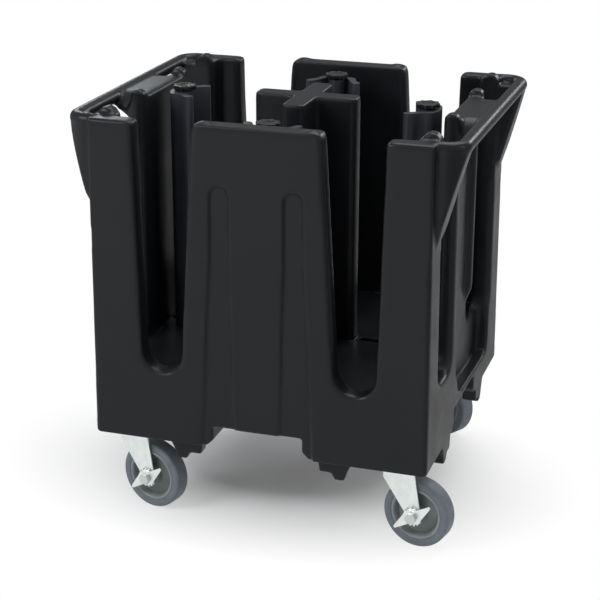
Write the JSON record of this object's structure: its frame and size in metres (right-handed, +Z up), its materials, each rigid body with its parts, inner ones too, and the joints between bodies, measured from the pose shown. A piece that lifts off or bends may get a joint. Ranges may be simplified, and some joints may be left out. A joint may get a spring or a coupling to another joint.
{
  "type": "plate dispenser cart",
  "caption": "Open plate dispenser cart with stack wells round a centre cross, sliding towers with lock knobs, side hand rails and swivel casters with brakes.",
  "frame": {"origin": "on the floor, under the middle of the cart", "axes": "+X to the cart's right, -Y to its front, +Z up"},
  "size_m": [0.716, 0.596, 0.757],
  "materials": {
    "body_plastic": "near-black moulded plastic with a soft sheen",
    "tower_plastic": "dark grey moulded plastic with a soft sheen",
    "knob_plastic": "black moulded plastic",
    "rod_steel": "zinc-plated steel",
    "zinc_plate": "bright zinc plate on pressed steel",
    "bushing_metal": "plain bearing metal",
    "tyre_rubber": "grey non-marking tread",
    "core_plastic": "grey moulded core"
  },
  "bodies": {
    "root": {"corner_front_left": "body_plastic", "corner_front_right": "body_plastic", "corner_back_left": "body_plastic", "corner_back_right": "body_plastic", "panel_front": "body_plastic", "panel_back": "body_plastic", "panel_left": "body_plastic", "panel_right": "body_plastic", "rail_left": "body_plastic", "rail_right": "body_plastic", "centre_cross": "body_plastic", "deck_tracks": "body_plastic", "caster_plate_front_left": "zinc_plate", "caster_plate_front_right": "zinc_plate", "caster_plate_back_left": "zinc_plate", "caster_plate_back_right": "zinc_plate", "kingpins": "rod_steel", "caster_bolts": "rod_steel"},
    "tower_left_body": {"tower_left": "tower_plastic"},
    "knob_left_body": {"knob_left": "knob_plastic", "rod_left": "rod_steel"},
    "clamp_left_body": {"clamp_left": "rod_steel"},
    "tower_right_body": {"tower_right": "tower_plastic"},
    "knob_right_body": {"knob_right": "knob_plastic", "rod_right": "rod_steel"},
    "clamp_right_body": {"clamp_right": "rod_steel"},
    "tower_front_body": {"tower_front": "tower_plastic"},
    "knob_front_body": {"knob_front": "knob_plastic", "rod_front": "rod_steel"},
    "clamp_front_body": {"clamp_front": "rod_steel"},
    "tower_back_body": {"tower_back": "tower_plastic"},
    "knob_back_body": {"knob_back": "knob_plastic", "rod_back": "rod_steel"},
    "clamp_back_body": {"clamp_back": "rod_steel"},
    "fork_front_left_body": {"fork_front_left": "zinc_plate", "axle_front_left": "zinc_plate", "bushing_front_left": "bushing_metal", "brake_cam_front_left": "zinc_plate"},
    "wheel_front_left_body": {"tyre_front_left": "tyre_rubber", "wheel_core_front_left": "core_plastic"},
    "brake_lever_front_left_body": {"brake_lever_front_left": "zinc_plate"},
    "fork_front_right_body": {"fork_front_right": "zinc_plate", "axle_front_right": "zinc_plate", "bushing_front_right": "bushing_metal", "brake_cam_front_right": "zinc_plate"},
    "wheel_front_right_body": {"tyre_front_right": "tyre_rubber", "wheel_core_front_right": "core_plastic"},
    "brake_lever_front_right_body": {"brake_lever_front_right": "zinc_plate"},
    "fork_back_left_body": {"fork_back_left": "zinc_plate", "axle_back_left": "zinc_plate", "bushing_back_left": "bushing_metal"},
    "wheel_back_left_body": {"tyre_back_left": "tyre_rubber", "wheel_core_back_left": "core_plastic"},
    "fork_back_right_body": {"fork_back_right": "zinc_plate", "axle_back_right": "zinc_plate", "bushing_back_right": "bushing_metal"},
    "wheel_back_right_body": {"tyre_back_right": "tyre_rubber", "wheel_core_back_right": "core_plastic"}
  },
  "joints": [
    {"name": "tower_left_slide", "type": "slide", "parent": "root", "child": "tower_left_body", "axis": [-1, 0, 0], "range_m": [-0.11, 0.009]},
    {"name": "knob_left_turn", "type": "hinge", "parent": "tower_left_body", "child": "knob_left_body", "pos_m": [-0.24, 0, 0.74], "axis": [0, 0, 1], "range_deg": [0, 720]},
    {"name": "clamp_left_slide", "type": "slide", "parent": "tower_left_body", "child": "clamp_left_body", "axis": [0, 0, 1], "range_m": [-0.004, 0]},
    {"name": "tower_right_slide", "type": "slide", "parent": "root", "child": "tower_right_body", "axis": [1, 0, 0], "range_m": [-0.094, 0.025]},
    {"name": "knob_right_turn", "type": "hinge", "parent": "tower_right_body", "child": "knob_right_body", "pos_m": [0.224, 0, 0.74], "axis": [0, 0, 1], "range_deg": [0, 720]},
    {"name": "clamp_right_slide", "type": "slide", "parent": "tower_right_body", "child": "clamp_right_body", "axis": [0, 0, 1], "range_m": [-0.004, 0]},
    {"name": "tower_front_slide", "type": "slide", "parent": "root", "child": "tower_front_body", "axis": [0, -1, 0], "range_m": [-0.095, 0.003]},
    {"name": "knob_front_turn", "type": "hinge", "parent": "tower_front_body", "child": "knob_front_body", "pos_m": [0, -0.225, 0.74], "axis": [0, 0, 1], "range_deg": [0, 720]},
    {"name": "clamp_front_slide", "type": "slide", "parent": "tower_front_body", "child": "clamp_front_body", "axis": [0, 0, 1], "range_m": [-0.004, 0]},
    {"name": "tower_back_slide", "type": "slide", "parent": "root", "child": "tower_back_body", "axis": [0, 1, 0], "range_m": [-0.053, 0.045]},
    {"name": "knob_back_turn", "type": "hinge", "parent": "tower_back_body", "child": "knob_back_body", "pos_m": [0, 0.183, 0.74], "axis": [0, 0, 1], "range_deg": [0, 720]},
    {"name": "clamp_back_slide", "type": "slide", "parent": "tower_back_body", "child": "clamp_back_body", "axis": [0, 0, 1], "range_m": [-0.004, 0]},
    {"name": "swivel_front_left", "type": "hinge", "parent": "root", "child": "fork_front_left_body", "pos_m": [-0.252, -0.23, 0.147], "axis": [0, 0, 1], "continuous": true},
    {"name": "wheel_front_left_roll", "type": "hinge", "parent": "fork_front_left_body", "child": "wheel_front_left_body", "pos_m": [-0.21827, -0.23935, 0.0635], "axis": [0.2672, 0.9636, 0], "continuous": true},
    {"name": "brake_front_left_turn", "type": "hinge", "parent": "fork_front_left_body", "child": "brake_lever_front_left_body", "pos_m": [-0.21827, -0.23935, 0.0635], "axis": [0.2672, 0.9636, 0], "range_deg": [0, 35]},
    {"name": "swivel_front_right", "type": "hinge", "parent": "root", "child": "fork_front_right_body", "pos_m": [0.252, -0.23, 0.147], "axis": [0, 0, 1], "continuous": true},
    {"name": "wheel_front_right_roll", "type": "hinge", "parent": "fork_front_right_body", "child": "wheel_front_right_body", "pos_m": [0.28621, -0.2374, 0.0635], "axis": [0.2113, 0.9774, 0], "continuous": true},
    {"name": "brake_front_right_turn", "type": "hinge", "parent": "fork_front_right_body", "child": "brake_lever_front_right_body", "pos_m": [0.28621, -0.2374, 0.0635], "axis": [0.2113, 0.9774, 0], "range_deg": [0, 35]},
    {"name": "swivel_back_left", "type": "hinge", "parent": "root", "child": "fork_back_left_body", "pos_m": [-0.252, 0.23, 0.147], "axis": [0, 0, 1], "continuous": true},
    {"name": "wheel_back_left_roll", "type": "hinge", "parent": "fork_back_left_body", "child": "wheel_back_left_body", "pos_m": [-0.28581, 0.23906, 0.0635], "axis": [-0.2588, -0.9659, 0], "continuous": true},
    {"name": "swivel_back_right", "type": "hinge", "parent": "root", "child": "fork_back_right_body", "pos_m": [0.252, 0.23, 0.147], "axis": [0, 0, 1], "continuous": true},
    {"name": "wheel_back_right_roll", "type": "hinge", "parent": "fork_back_right_body", "child": "wheel_back_right_body", "pos_m": [0.22169, 0.2475, 0.0635], "axis": [-0.5, -0.866, 0], "continuous": true}
  ],
  "couplings": [
    {"joint": "knob_left_turn", "follows": "clamp_left_slide", "rad_per_m": -3141.6},
    {"joint": "knob_right_turn", "follows": "clamp_right_slide", "rad_per_m": -3141.6},
    {"joint": "knob_front_turn", "follows": "clamp_front_slide", "rad_per_m": -3141.6},
    {"joint": "knob_back_turn", "follows": "clamp_back_slide", "rad_per_m": -3141.6}
  ]
}
